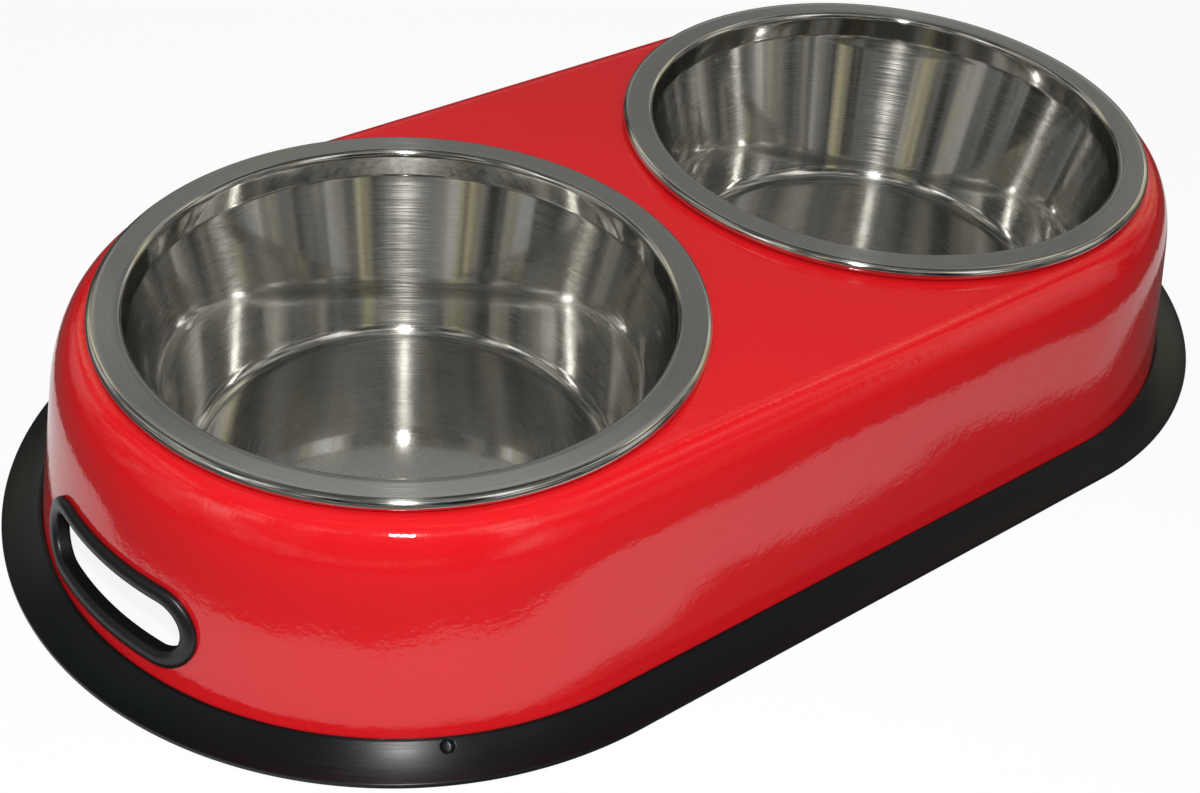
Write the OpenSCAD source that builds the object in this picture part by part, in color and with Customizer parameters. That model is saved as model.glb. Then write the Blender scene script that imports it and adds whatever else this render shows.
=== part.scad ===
// Double pet bowl: two lift-out steel bowls in a pressed steel stand with a rubber foot ring.
// The origin is on the ground under the middle of the stand, X runs from bowl to bowl, Z is up.

/* [Bowls] */
// Outside diameter of a bowl over its rolled rim
rim_d = 200; // [160:1:240]
// Gap between the rims of the two bowls
rim_gap = 16; // [10:1:60]
// Width of the rim, from the inside of the collar to the outside of the bead
rim_w = 11.5; // [10:0.5:15]
// Thickness of the rolled bead at the rim
bead_d = 4.6; // [3.6:0.2:6]
// Depth from the top of the rim to the floor of the bowl
bowl_depth = 70; // [50:1:72]
// Height of the straight collar, from the top of the rim
collar_h = 9.4; // [6:0.2:14]
// Inside radius of the bend from the leaning wall to the straight collar
collar_bend_r = 5; // [2:0.5:8]
// Width that the leaning wall takes from the collar in to the floor
wall_run = 20; // [12:1:40]
// Inside radius of the corner between floor and wall
floor_corner_r = 6; // [3:0.5:12]
// Inside radius of the bend from the collar to the flat rim
rim_bend_r = 2; // [1.4:0.1:3]
// Thickness of the bowl's steel sheet
bowl_gauge = 0.8; // [0.5:0.1:1.2]

/* [Housing] */
// Height of the housing's flat top above the ground
housing_h = 76.5; // [72:0.5:90]
// Thickness of the housing's steel sheet
housing_gauge = 1; // [0.6:0.1:1.5]
// Angle that the side wall leans in from the vertical
wall_taper = 9; // [4:0.5:14]
// Height of the rounded shoulder between wall and top
shoulder_h = 24.5; // [14:0.5:30]
// Width of the rounded shoulder
shoulder_w = 11.3; // [8:0.1:18]
// Width of the flat land outside the line where the bead rests
seat_land = 0.7; // [0.4:0.1:3]
// Radius of the bend where the top turns down into a bowl hole
hole_bend_r = 2.4; // [1.8:0.1:3.2]
// Depth of the turned-down edge around a bowl hole
hole_flange_h = 8; // [5:0.5:14]

/* [Handle slots] */
// Width of the finger opening inside its rubber trim
grip_w = 64; // [50:1:110]
// Height of the finger opening inside its rubber trim
grip_h = 17.5; // [14:0.5:24]
// Height of the middle of the opening above the ground
grip_z = 27; // [23:0.5:32]
// Turn of the opening towards the front about the centre of its round end, in degrees
grip_turn = 8; // [0:0.5:15]
// How far the trim stands out from the wall
trim_proud = 2.6; // [1.8:0.1:4]
// How far the trim laps over the outside of the wall
trim_lap = 3.3; // [2:0.1:5]
// Rubber thickness between the opening and the cut edge of the steel
trim_web = 2.2; // [1.5:0.1:3]
// How far the trim laps over the inside of the wall
trim_inner_lap = 2.6; // [1.5:0.1:4]
// Thickness of the trim on the inside of the wall
trim_inner_t = 1.8; // [1.2:0.1:3]

/* [Foot ring] */
// How far the skirt reaches out beyond the foot of the wall
skirt_w = 12.7; // [8:0.1:18]
// Height of the lip that hugs the wall
lip_h = 6.6; // [5.6:0.1:9]
// Thickness of the lip at its top edge
lip_t = 1.2; // [0.8:0.1:2]
// Thickness of the skirt at its outer edge
skirt_edge_t = 1.8; // [1.2:0.1:2.6]
// Rubber under the cut edge of the housing
ring_floor_t = 3; // [2:0.1:3.8]
// Height of the inner lip of the channel
inner_lip_h = 7; // [5:0.1:9]
// Thickness of the inner lip
inner_lip_t = 2.2; // [1.5:0.1:3]
// Width of the foot pad inside the inner lip
pad_w = 4; // [2:0.1:8]
// Diameter of the round moulding mark on the skirt
mark_d = 4.5; // [3:0.1:6]
// Depth of the round moulding mark
mark_depth = 1.2; // [0.6:0.1:2]

/* [Fits] */
// Play between a bowl's collar and its hole, all round
hole_clearance = 1.7; // [1:0.1:2.4]
// Gap between a bead and the flat top it rests on
seat_gap = 0.3; // [0.1:0.05:0.5]
// Gap between rubber and steel
rubber_gap = 0.15; // [0.05:0.05:0.3]

/* [Hidden] */
paint = [0.80, 0.10, 0.13];
steel = [0.72, 0.71, 0.68];
rubber = [0.05, 0.06, 0.06];
// Length by which a cutting tool runs past the face that it cuts
overrun = 2;
// Length by which the flange section laps into the top plate that carries it
weld_lap = 0.5;
// Facets of the round parts, and steps of the curved stretches in the outlines
$fn = 144;
corner_steps = 6;
collar_steps = 3;
bend_steps = 5;
bead_steps = 16;
shoulder_steps = 12;
flare_steps = 6;
cap_stations = 12;
side_stations = 12;
crown_steps = 6;
// Exponent of the shoulder's superellipse and of the skirt's flare
shoulder_power = 2.5;
flare_power = 1.8;
// Turn of the bead from the flat rim round to its free edge, in degrees
bead_turn = 285;
// Direction of the moulding mark about the centre of the left end, in degrees
mark_angle = 243.5;
// Place of the moulding mark across the skirt, from the lip to the edge
mark_share = 0.16;
// Height at which the trim's crown starts, as a share of its proud height
crown_base_share = 0.35;
// Chamfer on the inside corners of the trim, as a share of its thickness there
trim_chamfer_share = 0.33;

// Bowl: the inside diameters of its collar and its floor, and the distance between two bowls
mouth_d = rim_d - 2*rim_w;
floor_d = mouth_d - 2*wall_run;
bowl_spacing = rim_d + rim_gap;
// Bowl: heights and radii that follow from the sizes above
rim_r = rim_d/2;
bead_r = bead_d/2;
mouth_r = mouth_d/2;
rim_z = housing_h + seat_gap + bead_d;
floor_z = rim_z - bowl_depth;
collar_z = rim_z - collar_h;
// Lean of the bowl's wall: the straight line that touches the corner arc and the collar's bend
corner_c = [floor_d/2, floor_z + floor_corner_r];
collar_c = [mouth_r - collar_bend_r, collar_z];
to_collar = collar_c - corner_c;
wall_lean = acos((floor_corner_r - collar_bend_r)/norm(to_collar))
    - atan2(to_collar[1], to_collar[0]);

// Housing: the flat top carries the bead, and the shoulder and the wall follow outside it
hole_r = mouth_r + bowl_gauge + hole_clearance;
flat_r = rim_r - bead_r + seat_land;
shoulder_z = housing_h - shoulder_h;
half_spacing = bowl_spacing/2;

// Radius of the straight wall line at height z, moved in by inset square to the wall
function wall_r(z, inset = 0) =
    flat_r + shoulder_w + (housing_h - z)*tan(wall_taper) - inset/cos(wall_taper);

// Outline of the side from height z0 up to the edge of the flat top, moved in by inset
function side_outline(z0, inset) = let(top = housing_h - inset) concat(
    [[wall_r(z0, inset), z0]],
    [for (i = [0:shoulder_steps]) let(a = 90*i/shoulder_steps,
        z = shoulder_z + (top - shoulder_z)*pow(sin(a), 2/shoulder_power))
        [wall_r(z, inset) - shoulder_w*(1 - pow(cos(a), 2/shoulder_power)), z]]);

// Points on an arc about c, from angle a0 to a1
function arc(c, r, a0, a1, steps) =
    [for (i = [0:steps]) let(a = a0 + (a1 - a0)*i/steps) c + r*[cos(a), sin(a)]];

function reversed(v) = [for (i = [len(v) - 1:-1:0]) v[i]];

// One face of the bowl's sheet, from the middle of the floor to the free edge of the bead,
// moved out by t from the face that holds the food
function bowl_face(t) = concat(
    [[0, floor_z - t]],
    arc(corner_c, floor_corner_r + t, -90, -wall_lean, corner_steps),
    arc(collar_c, collar_bend_r + t, -wall_lean, 0, collar_steps),
    arc([mouth_r + rim_bend_r, rim_z - rim_bend_r], rim_bend_r - t, 180, 90, bend_steps),
    arc([rim_r - bead_r, rim_z - bead_r], bead_r - t, 90, 90 - bead_turn, bead_steps));

// Carries a half section (radius, height) around the stadium plan of the stand
module around_stand() {
    for (side = [-1, 1]) {
        translate([side*half_spacing, 0, 0])
            rotate([0, 0, -side*90])
                rotate_extrude(angle = 180)
                    children();
        rotate([90, 0, 90])
            linear_extrude(height = bowl_spacing, center = true)
                mirror([side < 0 ? 1 : 0, 0])
                    children();
    }
}

// Outline with round ends, w long and h high
module obround(w, h) {
    square([w - h, h], center = true);
    for (side = [-1, 1])
        translate([side*(w - h)/2, 0])
            circle(d = h);
}

// Edge around a bowl hole: the top bends down into a short upright flange
module hole_flange() {
    bend_c = [hole_r + hole_bend_r, housing_h - hole_bend_r];
    rotate_extrude()
        polygon(concat(
            [[hole_r + hole_bend_r + weld_lap, housing_h]],
            arc(bend_c, hole_bend_r, 90, 180, bend_steps),
            [[hole_r, housing_h - hole_flange_h],
             [hole_r + housing_gauge, housing_h - hole_flange_h]],
            reversed(arc(bend_c, hole_bend_r - housing_gauge, 90, 180, bend_steps)),
            [[hole_r + hole_bend_r + weld_lap, housing_h - housing_gauge]]));
}

// Size of the cut in the steel, which leaves room for the rubber web
cut_margin = trim_web + rubber_gap;

module housing_shell() {
    color(paint) {
        difference() {
            around_stand()
                polygon(concat(
                    side_outline(ring_floor_t, 0),
                    [[0, housing_h], [0, housing_h - housing_gauge]],
                    reversed(side_outline(ring_floor_t, housing_gauge))));
            for (side = [-1, 1]) {
                translate([side*half_spacing, 0, housing_h - housing_gauge - overrun])
                    cylinder(r = hole_r + hole_bend_r, h = housing_gauge + 2*overrun);
                translate([side*half_spacing, 0, grip_z])
                    rotate([0, 0, -side*grip_turn])
                        translate([side*hole_r, 0, 0])
                            rotate([90, 0, 90*side])
                                linear_extrude(height = wall_r(0) - hole_r + overrun)
                                    obround(grip_w + 2*cut_margin, grip_h + 2*cut_margin);
            }
        }
        for (side = [-1, 1])
            translate([side*half_spacing, 0, 0])
                hole_flange();
    }
}

// Rubber section: outer lip and skirt, floor under the steel edge, inner lip and foot pad
function ring_outline() = let(
        lip_r = wall_r(lip_h) + rubber_gap + lip_t,
        edge_r = wall_r(0) + skirt_w,
        channel_out = wall_r(ring_floor_t) + rubber_gap,
        channel_in = wall_r(ring_floor_t, housing_gauge) - rubber_gap,
        inner_r = wall_r(inner_lip_h, housing_gauge) - rubber_gap)
    concat(
        [[channel_in - inner_lip_t - pad_w, 0], [edge_r, 0]],
        [for (i = [0:flare_steps]) let(s = i/flare_steps)
            [edge_r + (lip_r - edge_r)*s,
             skirt_edge_t + (lip_h - skirt_edge_t)*pow(s, flare_power)]],
        [[wall_r(lip_h) + rubber_gap, lip_h], [channel_out, ring_floor_t],
         [channel_in, ring_floor_t], [inner_r, inner_lip_h],
         [inner_r - inner_lip_t, inner_lip_h], [channel_in - inner_lip_t, ring_floor_t],
         [channel_in - inner_lip_t - pad_w, ring_floor_t]]);

module base_ring() {
    mark_r = wall_r(0) + skirt_w*mark_share;
    mark_top = skirt_edge_t + (lip_h - skirt_edge_t)*pow(1 - mark_share, flare_power);
    mark_tilt = atan(flare_power*pow(1 - mark_share, flare_power - 1)*(lip_h - skirt_edge_t)/skirt_w);
    color(rubber)
        difference() {
            around_stand()
                polygon(ring_outline());
            translate([-half_spacing, 0, 0])
                rotate([0, 0, mark_angle])
                    translate([mark_r, 0, mark_top])
                        rotate([0, mark_tilt, 0])
                            translate([0, 0, -mark_depth])
                                cylinder(d = mark_d, h = mark_depth + overrun);
        }
}

// Section of the edge trim: u runs away from the opening along the wall, v out of the wall.
// The steel's cut edge lies at u = 0 and its outer face at v = 0.
function trim_section() = let(
        u0 = -cut_margin,
        base = trim_proud*crown_base_share,
        mid = (trim_lap + u0)/2,
        half = (trim_lap - u0)/2,
        back = -housing_gauge - rubber_gap,
        deep = back - trim_inner_t,
        soft = trim_inner_t*trim_chamfer_share)
    concat(
        [[-rubber_gap, rubber_gap], [trim_lap, rubber_gap]],
        [for (i = [0:crown_steps]) let(a = 180*i/crown_steps)
            [mid + half*cos(a), base + (trim_proud - base)*sin(a)]],
        [[u0, deep + soft], [u0 + soft, deep], [trim_inner_lap - soft, deep],
         [trim_inner_lap, deep + soft], [trim_inner_lap, back], [-rubber_gap, back]]);

// Stations along the cut edge: [y, z, outward y, outward z] in the plane of the opening
function trim_loop() = let(
        r = grip_h/2 + cut_margin,
        reach = (grip_w - grip_h)/2)
    concat(
        [for (i = [0:cap_stations - 1]) let(a = -90 + 180*i/cap_stations)
            [reach + r*cos(a), r*sin(a), cos(a), sin(a)]],
        [for (i = [0:side_stations - 1]) [reach - 2*reach*i/side_stations, r, 0, 1]],
        [for (i = [0:cap_stations - 1]) let(a = 90 + 180*i/cap_stations)
            [-reach + r*cos(a), r*sin(a), cos(a), sin(a)]],
        [for (i = [0:side_stations - 1]) [-reach + 2*reach*i/side_stations, -r, 0, -1]]);

// Point of the trim about the centre of the right-hand end, before its turn towards the front,
// for a station s and a section point q
function trim_point(s, q) = let(
        z = grip_z + s[1],
        r = wall_r(z),
        phi = asin(s[0]/r),
        along = [-sin(phi), cos(phi), 0],
        up = [-cos(phi)*sin(wall_taper), -sin(phi)*sin(wall_taper), cos(wall_taper)],
        out = cross(along, up),
        away_raw = along*(s[2]/cos(wall_taper)) + up*(s[3]/cos(phi)),
        away = away_raw/norm(away_raw))
    [r*cos(phi), s[0], z] + away*q[0] + out*q[1];

// Rubber edge trim carried around the slot as one closed sweep
module grommet() {
    loop = trim_loop();
    section = trim_section();
    n = len(loop);
    m = len(section);
    translate([half_spacing, 0, 0])
        rotate([0, 0, -grip_turn])
            polyhedron(
                points = [for (s = loop, q = section) trim_point(s, q)],
                faces = [for (i = [0:n - 1], j = [0:m - 1]) let(
                            a = i*m + j,
                            b = i*m + (j + 1)%m,
                            c = ((i + 1)%n)*m + (j + 1)%m,
                            d = ((i + 1)%n)*m + j)
                         each [[a, b, c], [a, c, d]]]);
}

module handle_grommet_right() {
    color(rubber)
        grommet();
}

module handle_grommet_left() {
    color(rubber)
        mirror([1, 0, 0])
            grommet();
}

// Spun steel bowl: floor, leaning wall, straight collar, flat rim and rolled bead
module bowl(side) {
    color(steel)
        translate([side*half_spacing, 0, 0])
            rotate_extrude()
                polygon(concat(bowl_face(0), reversed(bowl_face(bowl_gauge))));
}

module bowl_left() {
    bowl(-1);
}

module bowl_right() {
    bowl(1);
}

housing_shell();
base_ring();
handle_grommet_left();
handle_grommet_right();
bowl_left();
bowl_right();
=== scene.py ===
# %% [markdown]
# # Double pet bowl
# A low stand is pressed from one sheet of steel and enamelled red. Two spun steel bowls hang in its top
# by their rolled rims, a rubber ring is stretched over its foot, and rubber trims line the finger slots
# in its ends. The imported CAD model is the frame: each new surface lies where its solid lies, so the
# places are read from the solids' boxes and only the sizes that a box doesn't tell are named here.

import bpy
import numpy as np
from mathutils import Matrix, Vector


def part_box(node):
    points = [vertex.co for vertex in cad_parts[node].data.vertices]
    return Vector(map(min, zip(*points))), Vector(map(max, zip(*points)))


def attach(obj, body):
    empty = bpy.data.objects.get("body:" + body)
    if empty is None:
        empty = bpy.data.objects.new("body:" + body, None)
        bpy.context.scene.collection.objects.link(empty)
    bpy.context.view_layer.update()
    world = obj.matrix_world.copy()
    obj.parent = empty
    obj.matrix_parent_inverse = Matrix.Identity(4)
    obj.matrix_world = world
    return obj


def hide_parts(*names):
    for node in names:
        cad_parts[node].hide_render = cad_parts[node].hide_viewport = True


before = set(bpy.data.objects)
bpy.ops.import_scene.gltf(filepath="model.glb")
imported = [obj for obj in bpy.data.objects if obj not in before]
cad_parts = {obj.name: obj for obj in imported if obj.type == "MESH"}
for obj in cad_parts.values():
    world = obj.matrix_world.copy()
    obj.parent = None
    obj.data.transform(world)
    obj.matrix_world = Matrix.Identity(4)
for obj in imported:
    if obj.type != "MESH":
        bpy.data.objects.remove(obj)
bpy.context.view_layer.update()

mm = 0.001
print("nodes:", sorted(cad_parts))

# %% [markdown]
# ## The camera
# The viewing angle was worked out from the photograph: the two rims are true circles of one size in one
# plane, so their outlines fix the lens, the tilt and the place of the camera. A camera can be aimed with
# a Track To constraint, but writing its matrix keeps the small roll exact.

# %% Camera
image_w, image_h = 1200, 793
sensor_w = 36.0
focal_px = 1847.1
camera_turn, camera_pitch, camera_roll = np.radians([-40.51, 38.43, 5.16])
camera_place = np.array([-371.5, -409.4, 429.8])*mm


def camera_axes(turn, pitch, roll):
    """Right, up and back of a camera that is turned about Z, pitched down and rolled about its own line."""
    back = np.array([np.sin(turn)*np.cos(pitch), -np.cos(turn)*np.cos(pitch), np.sin(pitch)])
    level = np.array([np.cos(turn), np.sin(turn), 0.0])
    upright = np.cross(back, level)
    right = np.cos(roll)*level + np.sin(roll)*upright
    up = -np.sin(roll)*level + np.cos(roll)*upright
    return right, up, back


camera_data = bpy.data.cameras.new("camera")
camera_data.sensor_fit = "HORIZONTAL"
camera_data.sensor_width = sensor_w
camera_data.lens = focal_px/image_w*sensor_w
camera_data.clip_start = 0.01
camera_data.clip_end = 100.0
camera = bpy.data.objects.new("camera", camera_data)
bpy.context.scene.collection.objects.link(camera)
turned = np.eye(4)
turned[:3, :3] = np.stack(camera_axes(camera_turn, camera_pitch, camera_roll), axis=1)
turned[:3, 3] = camera_place
camera.matrix_world = Matrix(turned.tolist())
bpy.context.scene.camera = camera
print("lens", round(camera_data.lens, 2), "mm, image", image_w, "by", image_h)

# %% [markdown]
# ## From a grid of points to a mesh
# Every piece here is a surface that two parameters run over, such as the turn around a bowl and the way
# along its profile. Such a surface is one numpy array of rows and columns. It could be drawn with Blender's
# own Screw or Curve tools, but an array gives exact places, and neighbouring surfaces share their edge
# points, so they weld without a gap.

# %% Grids of quads
def grid_patch(points, u, v, wrap=False, keep=None):
    """Quads between neighbouring points of a rows by columns grid. u and v run along rows and columns and
    become the UV map. With wrap, the last row joins the first, and u holds one value more than the rows.
    keep is a mask of the cells that stay."""
    rows, cols = points.shape[:2]
    lines = rows if wrap else rows - 1
    i, j = np.meshgrid(np.arange(lines), np.arange(cols - 1), indexing="ij")
    if keep is not None:
        i, j = i[keep], j[keep]
    i, j = i.ravel(), j.ravel()
    ahead = (i + 1) % rows
    quads = np.stack([i*cols + j, ahead*cols + j, ahead*cols + j + 1, i*cols + j + 1], axis=1)
    uv = np.stack([np.stack([u[i], u[i + 1], u[i + 1], u[i]], axis=1),
                   np.stack([v[j], v[j], v[j + 1], v[j + 1]], axis=1)], axis=2)
    return points.reshape(-1, 3), quads, uv


def mirrored(patch):
    """The patch on the other side of the plane x = 0, with its faces turned so that they still face out."""
    points, quads, uv = patch
    return points*[-1, 1, 1], quads[:, ::-1], uv[:, ::-1]


# %% Weld the patches into one object
weld_step = 1e-6
weld_shift = 0.137
edge_angle = np.radians(38)


def make_piece(name, patches, turn_sign=1):
    """One mesh object from patches. Points are rounded to a lattice of weld_step, shifted so that no usual
    place falls between two steps, and those on the same spot become one. A quad that a pole has left with
    three corners becomes a triangle. turn_sign -1 turns all faces round."""
    points = np.concatenate([patch[0] for patch in patches])
    starts = np.cumsum([0] + [len(patch[0]) for patch in patches[:-1]])
    corners = np.concatenate([patch[1] + start for patch, start in zip(patches, starts)])
    uv = np.concatenate([patch[2] for patch in patches])
    if turn_sign < 0:
        corners, uv = corners[:, ::-1], uv[:, ::-1]
    first, same = np.unique(np.round(points/weld_step + weld_shift), axis=0,
                            return_index=True, return_inverse=True)[1:]
    used, corners = np.unique(same.ravel()[corners], return_inverse=True)
    corners = corners.reshape(-1, 4)
    points = points[first[used]]
    distinct = corners != np.roll(corners, 1, axis=1)
    sizes = distinct.sum(axis=1)
    real = sizes >= 3
    distinct, sizes = distinct[real], sizes[real]
    corners, uv = corners[real][distinct], uv[real][distinct]
    mesh = bpy.data.meshes.new(name)
    mesh.vertices.add(len(points))
    mesh.vertices.foreach_set("co", points.ravel())
    mesh.loops.add(len(corners))
    mesh.loops.foreach_set("vertex_index", corners)
    mesh.polygons.add(len(sizes))
    mesh.polygons.foreach_set("loop_start", np.concatenate([[0], np.cumsum(sizes)[:-1]]))
    mesh.uv_layers.new(name="surface")
    mesh.uv_layers["surface"].data.foreach_set("uv", uv.ravel())
    mesh.update(calc_edges=True)
    if mesh.validate():
        print(name, "had faces that Blender mended")
    mesh.shade_smooth()
    mesh.set_sharp_from_angle(angle=edge_angle)
    piece = bpy.data.objects.new(name, mesh)
    bpy.context.scene.collection.objects.link(piece)
    print(name, len(points), "points,", len(sizes), "faces")
    return piece


def finish_piece(piece, body, node, material):
    """Gives the piece its material, hangs it from the body's empty, and hides the solid that it stands for.
    """
    piece.data.materials.append(material)
    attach(piece, body)
    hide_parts(node)
    return piece


# %% Outlines
def arc(centre, radius, start, end, steps):
    """Points at equal turns on an arc about a centre, between two angles in degrees."""
    turn = np.radians(np.linspace(start, end, steps + 1))
    return np.stack([centre[0] + radius*np.cos(turn), centre[1] + radius*np.sin(turn)], axis=1)


def fill(outline, step):
    """The outline with evenly spaced points added wherever two neighbours lie more than a step apart."""
    a, b = outline[:-1], outline[1:]
    counts = np.maximum(1, np.ceil(np.linalg.norm(b - a, axis=1)/step)).astype(int)
    which = np.repeat(np.arange(len(a)), counts)
    share = (np.arange(counts.sum()) - np.repeat(np.cumsum(counts) - counts, counts))/counts[which]
    return np.concatenate([a[which] + share[:, None]*(b - a)[which], outline[-1:]])


def length_along(outline):
    """Distance of each point from the first one, measured along the outline."""
    return np.concatenate([[0.0], np.cumsum(np.linalg.norm(np.diff(outline, axis=0), axis=1))])


# %% [markdown]
# ## Sizes that the solids tell
# The bowls' boxes give the rim's radius and height and the distance between the bowls. The stand's box
# gives the height of its top, and the ring's box the reach of the skirt.

# %% Places read from the frame
bowl_low, bowl_high = (np.array(corner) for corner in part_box("bowl_right"))
shell_low, shell_high = (np.array(corner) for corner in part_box("housing_shell"))
ring_high = np.array(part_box("base_ring")[1])
half_spacing = (bowl_low[0] + bowl_high[0])/2
rim_r = (bowl_high[0] - bowl_low[0])/2
rim_z = bowl_high[2]
top_z = shell_high[2]
foot_z = shell_low[2]
skirt_r = ring_high[0] - half_spacing
print("spacing", round(2*half_spacing/mm, 2), "rim", round(2*rim_r/mm, 2), "rim height",
      round(rim_z/mm, 2), "top", round(top_z/mm, 2), "skirt", round(skirt_r/mm, 2))

# %% [markdown]
# ## The bowls
# A bowl is spun: a disc of thin steel turns on a lathe and a roller presses it over a form. So it is a
# surface of revolution. A Screw modifier would do, but a grid of turns by profile points also carries a
# UV map whose first direction runs around the bowl, and the brushed finish needs that direction. The
# profile goes from the middle of the floor up the food side, over the flat rim and round the bead, and
# back down the outside, so the sheet has its true thickness.

# %% Profile of a bowl
bowl_gauge = 0.8*mm
bead_r = 2.3*mm
mouth_r = 88.5*mm
floor_r = 68.5*mm
floor_corner_r = 6*mm
collar_bend_r = 5*mm
rim_bend_r = 2*mm
collar_z = rim_z - 9.4*mm
floor_z = bowl_low[2] + bowl_gauge
bead_turn = 285
profile_step = 1.2*mm
bend_steps, collar_steps, bead_steps = 12, 6, 36
bowl_turns = 256

corner_centre = np.array([floor_r, floor_z + floor_corner_r])
collar_centre = np.array([mouth_r - collar_bend_r, collar_z])
to_collar = collar_centre - corner_centre
wall_lean = np.degrees(np.arccos((floor_corner_r - collar_bend_r)/np.linalg.norm(to_collar))
                       - np.arctan2(to_collar[1], to_collar[0]))


def bowl_face(t):
    """Profile (radius, height) of one face of the sheet, moved out by t from the face that holds food."""
    return np.concatenate([
        [[0.0, floor_z - t]],
        arc(corner_centre, floor_corner_r + t, -90, -wall_lean, bend_steps),
        arc(collar_centre, collar_bend_r + t, -wall_lean, 0, collar_steps),
        arc((mouth_r + rim_bend_r, rim_z - rim_bend_r), rim_bend_r - t, 180, 90, bend_steps),
        arc((rim_r - bead_r, rim_z - bead_r), bead_r - t, 90, 90 - bead_turn, bead_steps)])


def bowl_patch(side):
    """The profile carried round the bowl's upright axis: (cos a * r, sin a * r, z)."""
    profile = fill(np.concatenate([bowl_face(0), bowl_face(bowl_gauge)[::-1]]), profile_step)
    a = np.linspace(0, 2*np.pi, bowl_turns, endpoint=False)[:, None]
    radius, height = profile.T
    points = np.stack([side*half_spacing + np.cos(a)*radius, np.sin(a)*radius,
                       np.broadcast_to(height, (bowl_turns, len(height)))], axis=2)
    return grid_patch(points, np.linspace(0, 1, bowl_turns + 1), length_along(profile), wrap=True)


bowls = {side: make_piece(name, [bowl_patch(side)], turn_sign=-1)
         for side, name in ((-1, "left_steel_bowl"), (1, "right_steel_bowl"))}
print("wall leans", round(wall_lean, 2), "degrees")

# %% [markdown]
# ## The plan of the stand
# Seen from above the stand is a stadium: two half circles about the bowls' centres, joined by straight
# sides. One half of it is made as stations at angles about the right bowl's centre, and mirrored. A
# station knows the way out of the wall and the centre that the wall's radius is measured from.

# %% Shape of the side
sheet = 1.0*mm
wall_taper = np.radians(9)
shoulder_h = 24.5*mm
shoulder_w = 11.3*mm
shoulder_power = 2.5
shoulder_cells = 34
seat_land = 0.7*mm
hole_bend_r = 2.4*mm
hole_flange_h = 8*mm
hole_clearance = 1.7*mm
hole_r = mouth_r + bowl_gauge + hole_clearance
flat_r = rim_r - bead_r + seat_land


def wall_r(z, inset=0.0):
    """Radius of the leaning wall at height z, moved in by inset square to the wall."""
    return flat_r + shoulder_w + (top_z - z)*np.tan(wall_taper) - inset/np.cos(wall_taper)


def shoulder():
    """Superellipse from the flat top out and down to the leaning wall, as (radius, height)."""
    a = np.radians(np.linspace(90, 0, shoulder_cells + 1))
    z = top_z - shoulder_h + shoulder_h*np.sin(a)**(2/shoulder_power)
    return np.stack([wall_r(z) - shoulder_w*(1 - np.cos(a)**(2/shoulder_power)), z], axis=1)


print("radii in mm: hole", round(hole_r/mm, 2), "flat top", round(flat_r/mm, 2), "foot",
      round(wall_r(foot_z)/mm, 2))

# %% [markdown]
# ## The pressed housing
# The show side of the sheet is one surface: it comes up the turned-down edge of a bowl hole, bends over
# onto the flat top, crosses the shoulder and runs down the wall to the foot. A Solidify modifier gives it
# the thickness of the steel. The finger slot could be cut with a Boolean, but that leaves thin slivers
# that show in a gloss finish, so the wall's grid is left open there and a small grid is blended between
# the slot's edge and the opening's frame.

# %% Stations and the slot's frame
half_turn_cells = 180
straight_cells = 36
middle_cells = 48
plate_cells = 12
hole_bend_cells, hole_step = 10, 2*mm
slot_turn_cells = 24
slot_shift_cells = 8
slot_low, slot_high = 6*mm, 45*mm
slot_rows, rows_above_slot = 24, 4
slot_end_cells, slot_step = 48, 1*mm
blend_cells = 8

grip_w, grip_h, grip_z = 64*mm, 17.5*mm, 27*mm
grip_turn = -slot_shift_cells*np.pi/half_turn_cells
trim_web, rubber_gap = 2.2*mm, 0.15*mm
cut_margin = trim_web + rubber_gap

straight_x = np.linspace(half_spacing, 0, straight_cells + 1)[1:]
round_angle = np.radians(np.linspace(-90, 90, half_turn_cells + 1))
side_angle = np.arctan2(flat_r, straight_x - half_spacing)
wall_angle = np.concatenate([-side_angle[::-1], round_angle, side_angle])
wall_base = np.concatenate([straight_x[::-1], np.full(half_turn_cells + 1, half_spacing), straight_x])
quarter = np.full(straight_cells, np.pi/2)
wall_way = np.concatenate([-quarter, round_angle, quarter])
middle_y = np.linspace(flat_r, -flat_r, middle_cells + 1)
middle_angle = np.arctan2(middle_y, -half_spacing)


def hole_edge():
    """The turned-down edge and its bend, as (radius, height) about the bowl's centre."""
    bend = arc((hole_r + hole_bend_r, top_z - hole_bend_r), hole_bend_r, 180, 90, hole_bend_cells)
    return fill(np.concatenate([[[hole_r, top_z - hole_flange_h]], bend]), hole_step)


def round_hole(angle):
    """The hole's edge carried through the given angles: (cos a * r, sin a * r) about the bowl's centre."""
    radius, height = hole_edge().T
    a = angle[:, None]
    return np.stack([half_spacing + np.cos(a)*radius, np.sin(a)*radius,
                     np.broadcast_to(height, (len(angle), len(height)))], axis=2)


def plate(inner, outer):
    """Straight blend from the hole's bend to the outer points, closer together near both ends."""
    share = (0.5 - 0.5*np.cos(np.linspace(0, np.pi, plate_cells + 1)))[None, :, None]
    return inner[:, None]*(1 - share) + outer[:, None]*share


def around_wall(profile):
    """The profile (radius, height) carried past all the wall's stations."""
    radius, height = profile.T
    way = wall_way[:, None]
    return np.stack([wall_base[:, None] + np.cos(way)*radius, np.sin(way)*radius,
                     np.broadcast_to(height, (len(way), len(height)))], axis=2)


# %% Housing surface
slot_z = np.linspace(slot_high, slot_low, slot_rows + 1)
side_profile = shoulder()
above = np.linspace(side_profile[-1, 1], slot_high, rows_above_slot + 1)[1:-1]
wall_z = np.concatenate([above, slot_z, [foot_z]])
side_profile = np.concatenate([side_profile, np.stack([wall_r(wall_z), wall_z], axis=1)])


def plain_uv(points):
    """Counts in place of lengths, for a surface whose finish doesn't follow its UV map."""
    return np.arange(points.shape[0] + 1)*mm, np.arange(points.shape[1])*mm


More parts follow.
